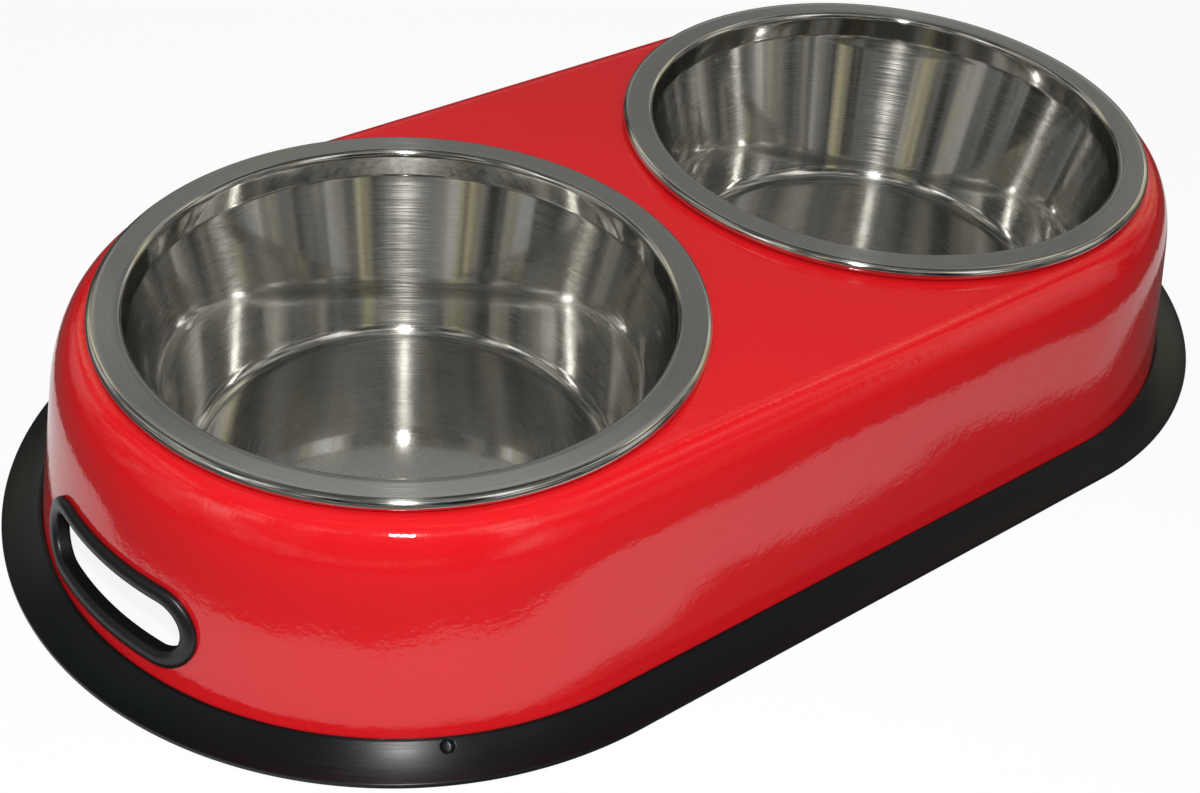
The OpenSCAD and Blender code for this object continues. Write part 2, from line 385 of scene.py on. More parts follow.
def slot_mask(points):
    """Cells of the wall's grid that lie outside the frame of the slot."""
    rows, cols = points.shape[:2]
    middle = straight_cells + half_turn_cells//2 - slot_shift_cells
    first_row = len(side_profile) - 1 - (slot_rows + 1)
    keep = np.ones((rows - 1, cols - 1), bool)
    keep[middle - slot_turn_cells:middle + slot_turn_cells, first_row:first_row + slot_rows] = False
    return keep


def slot_patch():
    """Blend, in turn and height, between the cut edge of the slot and the frame that was left open."""
    turn = np.radians(np.linspace(-slot_turn_cells, slot_turn_cells, 2*slot_turn_cells + 1))
    z = slot_z[::-1]
    frame_turn = np.concatenate([turn, np.full(slot_rows - 1, turn[-1]), turn[::-1],
                                 np.full(slot_rows - 1, turn[0])])
    frame_z = np.concatenate([np.full(len(turn), z[0]), z[1:-1], np.full(len(turn), z[-1]), z[-2:0:-1]])
    r = grip_h/2 + cut_margin
    reach = (grip_w - grip_h)/2
    foot = [[0.0, -r]]
    ends = [arc((reach, 0), r, -90, 90, slot_end_cells), arc((-reach, 0), r, 90, 270, slot_end_cells)]
    edge = fill(np.concatenate([foot, *ends, foot]), slot_step)
    frame_share = length_along(np.stack([frame_turn*wall_r(grip_z), frame_z], axis=1))
    frame_share = (frame_share - frame_share[slot_turn_cells])/(
        frame_share[-1] + (frame_z[-1] - frame_z[0]))
    along = length_along(edge)
    edge_y = np.interp(frame_share % 1, along/along[-1], edge[:, 0])
    edge_z = np.interp(frame_share % 1, along/along[-1], edge[:, 1]) + grip_z
    edge_turn = np.arcsin(edge_y/wall_r(edge_z))
    share = np.linspace(0, 1, blend_cells + 1)[None, :]
    turns = grip_turn + edge_turn[:, None]*(1 - share) + frame_turn[:, None]*share
    heights = edge_z[:, None]*(1 - share) + frame_z[:, None]*share
    radius = wall_r(heights)
    points = np.stack([half_spacing + radius*np.cos(turns), radius*np.sin(turns), heights], axis=2)
    return grid_patch(points, *plain_uv(points), wrap=True)


def housing_patches():
    """The hole's edge, the flat top, the side and the slot's frame of the right half."""
    inner = round_hole(wall_angle)
    side = around_wall(side_profile)
    outer_top = plate(inner[:, -1], side[:, 0])
    middle = round_hole(middle_angle)
    mid_edge = np.stack([np.zeros_like(middle_y), middle_y, np.full_like(middle_y, top_z)], axis=1)
    middle_top = plate(middle[:, -1], mid_edge)
    grids = [inner, outer_top, middle, middle_top]
    patches = [grid_patch(grid, *plain_uv(grid)) for grid in grids]
    return patches + [grid_patch(side, *plain_uv(side), keep=slot_mask(side)), slot_patch()]


right_half = housing_patches()
housing = make_piece("pressed_housing", right_half + [mirrored(patch) for patch in right_half],
                     turn_sign=-1)
thickness = housing.modifiers.new("sheet", "SOLIDIFY")
thickness.thickness = sheet
thickness.offset = -1
thickness.use_even_offset = True

# %% [markdown]
# ## The foot ring
# The ring is one rubber moulding. Its section has a lip that hugs the wall, a skirt that flares out in a
# hollow curve, a channel for the cut edge of the steel, an inner lip and a foot pad. The section is
# carried round the whole stadium. Steps are finer near the round mark that the mould's pin has left in
# the skirt, so the mark is a real hollow in the mesh and not only a bump in the material.

# %% Section of the ring
lip_h, lip_t = 6.6*mm, 1.2*mm
edge_t = 1.8*mm
floor_t = foot_z
inner_h, inner_t = 7*mm, 2.2*mm
pad_w = 4*mm
flare_power = 1.8
flare_end_share = 0.985
ring_step = 1.2*mm
skirt_radii = np.array([0.3, 0.4])*mm
channel_radii = np.array([0.45, 0.25, 0.1, 0.1, 0.3, 0.5, 0.8, 0.4, 0.3])*mm
mark_angle = np.radians(243.5)
mark_r_share, mark_zone_share = 0.16, 0.22
mark_d = 4.5*mm
mark_depth = 1.2*mm
mark_flatness, mark_rounding = 4, 0.7
coarse_cells, fine_cells = 11, 28


def rounded(corners, radii, steps=5):
    """Closed outline through the corners, each cut back by its radius and joined by a quadratic curve. A
    corner of radius 0 stays one point."""
    corners = np.asarray(corners, float)
    radii = np.asarray(radii, float)[:, None]
    before, after = np.roll(corners, 1, axis=0), np.roll(corners, -1, axis=0)
    back = (before - corners)/np.linalg.norm(before - corners, axis=1, keepdims=True)*radii
    ahead = (after - corners)/np.linalg.norm(after - corners, axis=1, keepdims=True)*radii
    t = np.linspace(0, 1, steps + 1)[None, :, None]
    a, b, c = (corners + back)[:, None], corners[:, None], (corners + ahead)[:, None]
    outline = ((1 - t)**2*a + 2*t*(1 - t)*b + t**2*c).reshape(-1, 2)
    return outline[np.linalg.norm(outline - np.roll(outline, 1, axis=0), axis=1) > 0]


def ring_section():
    """Closed section (radius, height), counted up the skirt, over the channel and back along the ground."""
    lip_r = wall_r(lip_h) + rubber_gap + lip_t
    channel_out = wall_r(floor_t) + rubber_gap
    channel_in = wall_r(floor_t, sheet) - rubber_gap
    inner_r = wall_r(inner_h, sheet) - rubber_gap
    mark_start = 1 - mark_r_share - mark_zone_share
    s = np.concatenate([np.linspace(0, mark_start, coarse_cells + 1)[1:],
                        np.linspace(mark_start, flare_end_share, fine_cells + 1)[1:]])
    flare = np.stack([skirt_r + (lip_r - skirt_r)*s, edge_t + (lip_h - edge_t)*s**flare_power], axis=1)
    corners = np.concatenate([
        [[skirt_r, 0.0], [skirt_r, edge_t]], flare,
        [[lip_r, lip_h], [wall_r(lip_h) + rubber_gap, lip_h], [channel_out, floor_t],
         [channel_in, floor_t], [inner_r, inner_h], [inner_r - inner_t, inner_h],
         [channel_in - inner_t, floor_t], [channel_in - inner_t - pad_w, floor_t],
         [channel_in - inner_t - pad_w, 0.0]]])
    outline = rounded(corners, np.concatenate([skirt_radii, np.zeros(len(flare)), channel_radii]))
    return fill(np.concatenate([outline, outline[:1]]), ring_step)


# %% Way around the ring
station_step, fine_step, fine_reach = 2*mm, 0.2*mm, 4*mm


def stadium_stations():
    """Centres, ways out and distances for a full turn, counter-clockwise from the front of the right end.
    Steps are finer within fine_reach of the round mark."""
    half = np.pi*skirt_r
    straight = 2*half_spacing
    around = 2*half + 2*straight
    mark_at = half + straight + (mark_angle - np.pi/2)*skirt_r
    s = np.concatenate([np.arange(0, mark_at - fine_reach, station_step),
                        np.arange(mark_at - fine_reach, mark_at + fine_reach, fine_step),
                        np.arange(mark_at + fine_reach, around - station_step/2, station_step)])
    knots = np.cumsum([0, half, straight, half, straight])
    way = np.interp(s, knots, np.array([-0.5, 0.5, 0.5, 1.5, 1.5])*np.pi)
    base = np.interp(s, knots, np.array([1, 1, -1, -1, 1])*half_spacing)
    return base, way, np.append(s, around)


def ring_patch():
    """The section carried round, with the mark pressed in along the surface's own slope."""
    section = ring_section()
    base, way, along = stadium_stations()
    radius, height = section.T[:, None]
    x = base[:, None] + np.cos(way)[:, None]*radius
    y = np.sin(way)[:, None]*radius
    z = np.repeat(height, len(base), axis=0)
    reach = skirt_r - wall_r(0)
    mark_r = wall_r(0) + reach*mark_r_share
    mark_z = edge_t + (lip_h - edge_t)*(1 - mark_r_share)**flare_power
    slope = flare_power*(1 - mark_r_share)**(flare_power - 1)*(lip_h - edge_t)/reach
    mark_x, mark_y = -half_spacing + mark_r*np.cos(mark_angle), mark_r*np.sin(mark_angle)
    away = np.sqrt((x - mark_x)**2 + (y - mark_y)**2 + (z - mark_z)**2)/(mark_d/2)
    hollow = mark_depth*np.clip(1 - away**mark_flatness, 0, 1)**mark_rounding*(height > floor_t/2)
    tilt = np.arctan(slope)
    x = x - hollow*np.sin(tilt)*np.cos(way)[:, None]
    y = y - hollow*np.sin(tilt)*np.sin(way)[:, None]
    z = z - hollow*np.cos(tilt)
    return grid_patch(np.stack([x, y, z], axis=2), along, length_along(section), wrap=True)


foot_ring = make_piece("rubber_foot_ring", [ring_patch()])

# %% [markdown]
# ## The slot trims
# Each finger slot is lined with a rubber edge trim that grips the cut steel from both sides. It is one
# section carried round the slot's outline, and the whole loop follows the wall, which both leans and
# curves. A bevelled curve could do this, but the section isn't round and has to stay square to the
# leaning wall, so its own three directions are worked out at every station.

# %% Section and loop of the trim
trim_proud, trim_lap = 2.6*mm, 3.3*mm
trim_inner_lap, trim_inner_t = 2.6*mm, 1.8*mm
crown_base_share = 0.35
crown_cells, trim_cells = 24, 64
trim_step = 0.5*mm
trim_lap_radii = np.array([0.05, 0.25])*mm
trim_back_radii = np.array([0.7, 0.5, 0.3, 0.05])*mm


def trim_section():
    """Closed section (u, v): u runs away from the opening along the wall, v out of the wall."""
    middle, half = (trim_lap - cut_margin)/2, (trim_lap + cut_margin)/2
    a = np.radians(np.linspace(0, 180, crown_cells + 1))
    crown_base = crown_base_share*trim_proud
    crown = np.stack([middle + half*np.cos(a), crown_base + (trim_proud - crown_base)*np.sin(a)], axis=1)
    back, deep = -sheet - rubber_gap, -sheet - rubber_gap - trim_inner_t
    corners = np.concatenate([
        [[-rubber_gap, rubber_gap], [trim_lap, rubber_gap]], crown,
        [[-cut_margin, deep], [trim_inner_lap, deep], [trim_inner_lap, back], [-rubber_gap, back]]])
    outline = rounded(corners, np.concatenate([trim_lap_radii, np.zeros(len(crown)), trim_back_radii]))
    return fill(np.concatenate([outline, outline[:1]]), trim_step)


def trim_patch():
    """At each station of the loop the section stands on three directions: along, away and out."""
    section = trim_section()
    r = grip_h/2 + cut_margin
    reach = (grip_w - grip_h)/2
    cap = np.radians(np.linspace(-90, 90, trim_cells + 1))[:-1]
    run = np.linspace(1, -1, trim_cells + 1)[:-1]*reach
    y = np.concatenate([reach + r*np.cos(cap), run, -reach - r*np.cos(cap), -run])
    dz = np.concatenate([r*np.sin(cap), np.full(trim_cells, r), -r*np.sin(cap), np.full(trim_cells, -r)])
    way_y = np.concatenate([np.cos(cap), np.zeros(trim_cells), -np.cos(cap), np.zeros(trim_cells)])
    way_z = np.concatenate([np.sin(cap), np.ones(trim_cells), -np.sin(cap), -np.ones(trim_cells)])
    z = grip_z + dz
    radius = wall_r(z)
    bearing = np.arcsin(y/radius)
    turn = bearing + grip_turn
    along = np.stack([-np.sin(turn), np.cos(turn), np.zeros_like(turn)], axis=1)
    up = np.stack([-np.cos(turn)*np.sin(wall_taper), -np.sin(turn)*np.sin(wall_taper),
                   np.full_like(turn, np.cos(wall_taper))], axis=1)
    out = np.cross(along, up)
    away = along*(way_y/np.cos(wall_taper))[:, None] + up*(way_z/np.cos(bearing))[:, None]
    away = away/np.linalg.norm(away, axis=1, keepdims=True)
    edge = np.stack([half_spacing + radius*np.cos(turn), radius*np.sin(turn), z], axis=1)
    points = edge[:, None] + away[:, None]*section[None, :, :1] + out[:, None]*section[None, :, 1:]
    loop = length_along(np.concatenate([edge, edge[:1]]))
    return grid_patch(points, loop, length_along(section), wrap=True)


right_trim_patch = trim_patch()
trims = {1: make_piece("right_slot_trim", [right_trim_patch]),
         -1: make_piece("left_slot_trim", [mirrored(right_trim_patch)])}


# %% Check which way the faces look
cm3 = 1e-6


def inside_volume(piece):
    """Volume inside a closed mesh in cubic centimetres, positive when its faces look outwards. The housing
    is an open sheet until Solidify thickens it, so for the housing only the sign counts."""
    mesh = piece.data
    mesh.calc_loop_triangles()
    points = np.empty(3*len(mesh.vertices))
    mesh.vertices.foreach_get("co", points)
    corners = np.empty(3*len(mesh.loop_triangles), int)
    mesh.loop_triangles.foreach_get("vertices", corners)
    a, b, c = points.reshape(-1, 3)[corners.reshape(-1, 3)].transpose(1, 0, 2)
    return float(np.einsum("ij,ij->i", a, np.cross(b, c)).sum()/6/cm3)


for piece in (*bowls.values(), housing, foot_ring, *trims.values()):
    print(piece.name, round(inside_volume(piece), 2), "cm3,", len(piece.data.loop_triangles), "triangles")

# %% [markdown]
# ## Finishes
# Four finishes cover the object: gloss red enamel, spun steel, the ring's rubber and the trims' rubber.
# Each is a plain Principled shader whose constants stand on its own sockets. A node group works out only
# what changes over the surface, such as a roughness or a bump, so that every finish can be reused.

# %% Node helpers
most_noise = (0.3, 0.7)


def new_material(name):
    """An empty node material with a Principled shader and an output, joined."""
    material = bpy.data.materials.new(name)
    material.use_nodes = True
    nodes = material.node_tree.nodes
    nodes.clear()
    shader = nodes.new("ShaderNodeBsdfPrincipled")
    output = nodes.new("ShaderNodeOutputMaterial")
    material.node_tree.links.new(shader.outputs["BSDF"], output.inputs["Surface"])
    return material, nodes, material.node_tree.links, shader


def new_group(name, *outputs):
    """A node group with a coordinate input and the named outputs, each of which is a number."""
    tree = bpy.data.node_groups.new(name, "ShaderNodeTree")
    tree.interface.new_socket("Place", in_out="INPUT", socket_type="NodeSocketVector")
    for label in outputs:
        tree.interface.new_socket(label, in_out="OUTPUT", socket_type="NodeSocketFloat")
    start, end = tree.nodes.new("NodeGroupInput"), tree.nodes.new("NodeGroupOutput")
    return tree, start, end


def noise_at(tree, place, stretch, detail=2.0, roughness=0.5):
    """Noise read at place after its three directions are multiplied by stretch. Returns its value, which
    lies inside most_noise nearly everywhere."""
    mapping = tree.nodes.new("ShaderNodeMapping")
    mapping.inputs["Scale"].default_value = stretch
    noise = tree.nodes.new("ShaderNodeTexNoise")
    noise.inputs["Scale"].default_value = 1.0
    noise.inputs["Detail"].default_value = detail
    noise.inputs["Roughness"].default_value = roughness
    tree.links.new(place, mapping.inputs["Vector"])
    tree.links.new(mapping.outputs["Vector"], noise.inputs["Vector"])
    return noise.outputs["Fac"]


def spread(tree, value, low, high, out_low, out_high):
    """The value, carried from the range low to high into the range out_low to out_high."""
    node = tree.nodes.new("ShaderNodeMapRange")
    for label, number in (("From Min", low), ("From Max", high), ("To Min", out_low), ("To Max", out_high)):
        node.inputs[label].default_value = number
    tree.links.new(value, node.inputs["Value"])
    return node.outputs["Result"]


def set_or_link(tree, value, socket):
    """Puts a number or a colour on a socket, or links another socket to it."""
    if isinstance(value, bpy.types.NodeSocket):
        tree.links.new(value, socket)
    else:
        socket.default_value = value


def combine(tree, kind, a, b=0.0):
    """A Math node of the given kind. a is a socket, b a socket or a number."""
    node = tree.nodes.new("ShaderNodeMath")
    node.operation = kind
    tree.links.new(a, node.inputs[0])
    set_or_link(tree, b, node.inputs[1])
    return node.outputs["Value"]


def blend(tree, share, a, b):
    """The colour a where share is 0 and the colour b where it is 1. Either can be a socket."""
    node = tree.nodes.new("ShaderNodeMix")
    node.data_type = "RGBA"
    tree.links.new(share, node.inputs["Factor"])
    set_or_link(tree, a, node.inputs["A"])
    set_or_link(tree, b, node.inputs["B"])
    return node.outputs["Result"]


def split(tree, vector):
    """The three numbers of a vector, as sockets."""
    node = tree.nodes.new("ShaderNodeSeparateXYZ")
    tree.links.new(vector, node.inputs["Vector"])
    return node.outputs["X"], node.outputs["Y"], node.outputs["Z"]


def long_side(tree, a, b):
    """The long side of a right-angled triangle whose short sides are a and b."""
    squares = combine(tree, "ADD", combine(tree, "MULTIPLY", a, a), combine(tree, "MULTIPLY", b, b))
    return combine(tree, "POWER", squares, 0.5)


def bump(nodes, links, height, depth, shader):
    """A Bump node of the given depth in metres between a height and the shader's Normal."""
    node = nodes.new("ShaderNodeBump")
    node.inputs["Strength"].default_value = 1.0
    node.inputs["Distance"].default_value = depth
    links.new(height, node.inputs["Height"])
    links.new(node.outputs["Normal"], shader.inputs["Normal"])


def grouped(nodes, links, tree, place):
    """The group as a node, fed with a place."""
    node = nodes.new("ShaderNodeGroup")
    node.node_tree = tree
    links.new(place, node.inputs["Place"])
    return node


def along_surface(nodes, links, shader):
    """The place on the piece's own UV map. The shader's tangent follows the map too, a quarter turn round,
    so that an anisotropic highlight spreads across the marks."""
    surface = nodes.new("ShaderNodeUVMap")
    surface.uv_map = "surface"
    tangent = nodes.new("ShaderNodeTangent")
    tangent.direction_type = "UV_MAP"
    tangent.uv_map = "surface"
    links.new(tangent.outputs["Tangent"], shader.inputs["Tangent"])
    shader.inputs["Anisotropic Rotation"].default_value = 0.25
    return surface.outputs["UV"]


# %% [markdown]
# ### Red enamel
# Sprayed and baked gloss is never quite flat. Its skin has an orange peel a millimetre or two across, which
# frays the edges of every reflection. Two sizes of noise in Object coordinates give it, and the colour
# needs no change at all.

# %% Red enamel
red = (0.62, 0.009, 0.013, 1)
fine_peel, broad_peel = (380, 380, 380), (80, 80, 80)
peel_depth, broad_height = 0.08*mm, 1.2

orange_peel, start, end = new_group("orange_peel", "Height")
fine = noise_at(orange_peel, start.outputs["Place"], fine_peel, detail=2.5, roughness=0.6)
broad = noise_at(orange_peel, start.outputs["Place"], broad_peel, detail=1.0)
swell = spread(orange_peel, broad, 0, 1, 0, broad_height)
orange_peel.links.new(combine(orange_peel, "ADD", fine, swell), end.inputs["Height"])

enamel, nodes, links, shader = new_material("red_enamel")
shader.inputs["Base Color"].default_value = red
shader.inputs["Roughness"].default_value = 0.07
peel = grouped(nodes, links, orange_peel, nodes.new("ShaderNodeTexCoord").outputs["Object"])
bump(nodes, links, peel.outputs["Height"], peel_depth, shader)
print(enamel.name, red[:3], "with a peel", round(peel_depth/mm, 3), "mm deep")

# %% [markdown]
# ### Spun steel
# A spun bowl is polished while it turns, so fine marks run around it. They spread a highlight across the
# marks: one small lamp gives a long streak up the wall and down the floor. The anisotropic lobe does this,
# with its tangent taken from the UV map, whose u runs around the bowl and v along the profile in metres.
# Bands of noise that are long in u and short in v change the roughness, and faint scratches from washing
# cross them. u is folded at half a turn, so that the noise meets itself. The polish still mirrors sharply
# through the marks: a coat with a high index adds that second lobe. The collar is polished most, and the
# floor least. In the middle of the floor the marks turn too tightly to have one direction, so the
# anisotropy fades there.

# %% Turning marks
band_stretch, line_stretch = (6, 700, 1), (22, 12000, 1)
smear_stretch, ripple_stretch = (60, 60, 1), (5, 120, 1)
line_window, smear_window = (0.46, 0.62), (0.5, 0.8)
band_roughness, line_roughness, smear_roughness = (0.07, 0.12), (0.0, 0.22), (0.0, 0.05)
ripple_height = 16

turning, start, end = new_group("turning_marks", "Roughness", "Height")
u, v = split(turning, start.outputs["Place"])[:2]
folded = turning.nodes.new("ShaderNodeCombineXYZ")
turning.links.new(combine(turning, "PINGPONG", u, 0.5), folded.inputs["X"])
turning.links.new(v, folded.inputs["Y"])
around = folded.outputs["Vector"]
lines = noise_at(turning, around, line_stretch)
bands = noise_at(turning, around, band_stretch, detail=3.0)
smears = noise_at(turning, around, smear_stretch, detail=4.0, roughness=0.7)
level = spread(turning, bands, *most_noise, *band_roughness)
scored = spread(turning, lines, *line_window, *line_roughness)
worn = spread(turning, smears, *smear_window, *smear_roughness)
level = combine(turning, "ADD", combine(turning, "ADD", level, scored), worn)
turning.links.new(level, end.inputs["Roughness"])
ripples = noise_at(turning, around, ripple_stretch, detail=1.0)
ripples = spread(turning, ripples, 0, 1, 0, ripple_height)
turning.links.new(combine(turning, "ADD", lines, ripples), end.inputs["Height"])
print(turning.name, "roughness from", band_roughness[0], "to",
      round(band_roughness[1] + line_roughness[1] + smear_roughness[1], 2))

# %% Spun steel
steel_grey = (0.37, 0.362, 0.33, 1)
mark_height = 0.0015*mm
centre_edge = 12*mm, 45*mm
floor_coat, floor_satin, collar_share = 0.55, 0.05, 0.12
floor_edge = float(floor_z + 0.5*mm), float(floor_z + floor_corner_r/2)
collar_edge = float(collar_z - 3*mm), float(collar_z)
bend_edge = float(rim_z - rim_bend_r), float(rim_z - 0.3*rim_bend_r)

steel, nodes, links, shader = new_material("spun_steel")
tree = steel.node_tree
shader.inputs["Base Color"].default_value = steel_grey
shader.inputs["Metallic"].default_value = 1.0
shader.inputs["Coat Roughness"].default_value = 0.04
shader.inputs["Coat IOR"].default_value = 4.0
surface = along_surface(nodes, links, shader)
from_middle = split(tree, surface)[1]
links.new(spread(tree, from_middle, *centre_edge, 0, 1), shader.inputs["Anisotropic"])
marks = grouped(nodes, links, turning, surface)
bump(nodes, links, marks.outputs["Height"], mark_height, shader)
height = split(tree, nodes.new("ShaderNodeTexCoord").outputs["Object"])[2]
links.new(spread(tree, height, *floor_edge, floor_coat, 1), shader.inputs["Coat Weight"])
on_collar = combine(tree, "MULTIPLY", spread(tree, height, *collar_edge, 0, 1),
                    spread(tree, height, *bend_edge, 1, 0))
glossier = spread(tree, on_collar, 0, 1, 1, collar_share)
polished = combine(tree, "MULTIPLY", marks.outputs["Roughness"], glossier)
satin = spread(tree, height, *floor_edge, floor_satin, 0)
links.new(combine(tree, "ADD", polished, satin), shader.inputs["Roughness"])
print(steel.name, steel_grey[:3], "collar from", [round(z/mm, 1) for z in (*collar_edge, *bend_edge)], "mm")

# %% [markdown]
# ### Rubber
# The ring's rubber is nearly black. Where it was wiped along its length it carries faint streaks, so its
# roughness follows noise that is long around the ring and short across it. Like the turning marks they
# spread a highlight across themselves: the skirt shows a short bright band and is dark beside it.

# %% Rubber
streak_stretch, grain_stretch = (28, 1500, 1), (900, 900, 1)
rubber_roughness = (0.30, 0.40)
wiped, start, end = new_group("wiped_rubber", "Roughness", "Height")
streaks = noise_at(wiped, start.outputs["Place"], streak_stretch, detail=3.0)
grain = noise_at(wiped, start.outputs["Place"], grain_stretch)
wiped.links.new(spread(wiped, streaks, *most_noise, *rubber_roughness), end.inputs["Roughness"])
wiped.links.new(combine(wiped, "ADD", streaks, grain), end.inputs["Height"])


def rubber_material(name, colour, shine, spread_across, depth):
    """Rubber of one colour, shine (Specular IOR Level), anisotropy and depth of grain."""
    material, nodes, links, shader = new_material(name)
    shader.inputs["Base Color"].default_value = colour
    shader.inputs["Specular IOR Level"].default_value = shine
    shader.inputs["Anisotropic"].default_value = spread_across
    streaked = grouped(nodes, links, wiped, along_surface(nodes, links, shader))
    links.new(streaked.outputs["Roughness"], shader.inputs["Roughness"])
    bump(nodes, links, streaked.outputs["Height"], depth, shader)
    return material


rubber = rubber_material("black_ring_rubber", colour=(0.0025, 0.004, 0.005, 1), shine=0.3,
                         spread_across=0.85, depth=0.01*mm)
trim_rubber = rubber_material("black_trim_rubber", colour=(0.005, 0.006, 0.007, 1), shine=0.4,
                              spread_across=0.0, depth=0.006*mm)

# %% Bodies, nodes and finishes
finish_piece(housing, "stand", "housing_shell", enamel)
finish_piece(foot_ring, "stand", "base_ring", rubber)
finish_piece(trims[1], "stand", "handle_grommet_right", trim_rubber)
finish_piece(trims[-1], "stand", "handle_grommet_left", trim_rubber)
finish_piece(bowls[1], "right_bowl", "bowl_right", steel)
finish_piece(bowls[-1], "left_bowl", "bowl_left", steel)
print("finishes:", [material.name for material in (enamel, steel, rubber, trim_rubber)])

# %% [markdown]
# ## Floor
# The object stands on a plain white sheet. Part of the sheet's white comes from Light Path, for what the
# camera sees and what the metal and the enamel mirror, and the rest from the lamps, so that the object's
# shadow stays on it. More light on the object would whiten the sheet too, but it would bleach the red.
# In the photograph the enamel mirrors the sheet only to a hand's breadth in front of the stand: a frayed
# edge runs along the wall, and above it the red is deep. So the ground past the sheet is dark to every
# ray but the camera's. The distance from the stand's long axis marks the edge of the sheet, and close to
# the skirt the ground is painted dark to them too, as painted shade for the stand's own shade.

# %% Floor
floor_half, floor_low = 4.0, -0.1*mm
sheet_reach, sheet_fade = 215*mm, 6*mm
sheet_widens = 0.1
sheet_wave, wave_stretch = 10*mm, (9, 9, 9)
painted_shade_reach, painted_shade_fade = 16*mm, 6*mm
camera_white, mirror_white = 0.9, 0.35
sheet_white, ground_grey = (0.8, 0.8, 0.8, 1), (0.12, 0.12, 0.12, 1)
floor_mesh = bpy.data.meshes.new("floor")
floor_mesh.from_pydata([(-floor_half, -floor_half, floor_low), (floor_half, -floor_half, floor_low),
                        (floor_half, floor_half, floor_low), (-floor_half, floor_half, floor_low)],
                       [], [(0, 1, 2, 3)])
floor = bpy.data.objects.new("floor", floor_mesh)
bpy.context.scene.collection.objects.link(floor)
white, nodes, links, shader = new_material("white_floor")
tree = white.node_tree
shader.inputs["Roughness"].default_value = 1.0
shader.inputs["Specular IOR Level"].default_value = 0.0
output = next(node for node in nodes if node.type == "OUTPUT_MATERIAL")

place = nodes.new("ShaderNodeTexCoord").outputs["Object"]
x, y = split(tree, place)[:2]
past_end = combine(tree, "SUBTRACT", combine(tree, "ABSOLUTE", x), float(half_spacing))
distance = long_side(tree, combine(tree, "MAXIMUM", past_end, 0.0), y)
wave = noise_at(tree, place, wave_stretch, detail=1.0)
wave = spread(tree, wave, *most_noise, -sheet_wave, sheet_wave)
edge = combine(tree, "SUBTRACT", distance, combine(tree, "MULTIPLY", x, sheet_widens))
edge = combine(tree, "ADD", edge, wave)
near = spread(tree, edge, sheet_reach - sheet_fade, sheet_reach, 1, 0)
# Painted shade: near the skirt this mask turns the floor's colour to ground_grey and its mirrored glow off,
# for every ray but the camera's.
past_painted_shade = spread(tree, combine(tree, "SUBTRACT", edge, float(skirt_r)), painted_shade_reach,
                    painted_shade_reach + painted_shade_fade, 0, 1)
sheet_past_painted_shade = combine(tree, "MULTIPLY", near, past_painted_shade)

ray = nodes.new("ShaderNodeLightPath")
seen_or_sheet_past_painted_shade = combine(tree, "MAXIMUM", ray.outputs["Is Camera Ray"], sheet_past_painted_shade)
links.new(blend(tree, seen_or_sheet_past_painted_shade, ground_grey, sheet_white), shader.inputs["Base Color"])

glow = nodes.new("ShaderNodeEmission")
mixed = nodes.new("ShaderNodeMixShader")
for_camera = combine(tree, "MULTIPLY", ray.outputs["Is Camera Ray"], camera_white)
mirrored_ray = combine(tree, "MAXIMUM", ray.outputs["Is Glossy Ray"], ray.outputs["Is Transmission Ray"])
for_mirrors = combine(tree, "MULTIPLY", mirrored_ray, combine(tree, "MULTIPLY", sheet_past_painted_shade, mirror_white))
links.new(combine(tree, "MAXIMUM", for_camera, for_mirrors), mixed.inputs["Fac"])
links.new(shader.outputs["BSDF"], mixed.inputs[1])
links.new(glow.outputs["Emission"], mixed.inputs[2])
links.new(mixed.outputs["Shader"], output.inputs["Surface"])
floor_mesh.materials.append(white)
print("floor", 2*floor_half, "m wide, mirrored to", round(sheet_reach/mm), "mm from the stand's long axis")

# %% [markdown]
# ## Light
# The bright lines in the bowls all lie straight away from the camera, and the dark patch with a bright
# spot on each back collar is where it and the bowl's floor mirror the camera's own side. So the key is
# a small lamp right above the camera, the sky behind it is dark, and brighter sky stands on both sides
# of it. A wide soft lamp overhead lifts the shadows. No mirrored ray sees that one, because the photograph
# shows nothing so wide in the enamel.

# %% Lamps
aim = np.array([0.0, 0.0, 0.05])
key_rise, key_size, key_light = 0.12, 0.036, 2.5
sky_place, sky_size, sky_light = np.array([0.0, 0.1, 1.6]), 1.2, 0.8


def soft_lamp(name, place, size, irradiance):
    """Round white area lamp that gives the stated irradiance, in W per square metre, where it is aimed."""
    way = place - aim
    distance = np.linalg.norm(way)
    data = bpy.data.lights.new(name, "AREA")
    data.shape = "DISK"
    data.size = size
    data.energy = irradiance*np.pi*distance**2
    lamp = bpy.data.objects.new(name, data)
    bpy.context.scene.collection.objects.link(lamp)
    back = way/distance
    side = np.cross([0.0, 1.0, 0.0], back)
    side = side/np.linalg.norm(side)
    turned = np.eye(4)
    turned[:3, :3] = np.stack([side, np.cross(back, side), back], axis=1)
    turned[:3, 3] = place
    lamp.matrix_world = Matrix(turned.tolist())
    print(name, "at", np.round(place, 3).tolist(), "gives", irradiance, "W/m2")
    return lamp


soft_lamp("key", camera_place + [0, 0, key_rise], key_size, key_light)
soft_sky = soft_lamp("sky", sky_place, sky_size, sky_light)
soft_sky.visible_glossy = False

# %% [markdown]
# The world's brightness is a ramp over the way around, counted from the camera's side, times a ramp over
# the height. Noise that is stretched upwards breaks it into bars and gaps, some of them warm, and round
# the camera's own place it is dark. A picture of a real sky would do the same, but this needs no file. A
# brighter gap stands straight away from the camera, low and high: the back walls show the low one and the
# rims' front the high one. To the camera itself the world is white, so that the floor's far end doesn't
# show in a low view.

# %% World helpers
world = bpy.data.worlds.new("studio")
bpy.context.scene.world = world
world.use_nodes = True
tree = world.node_tree
nodes, links = tree.nodes, tree.links


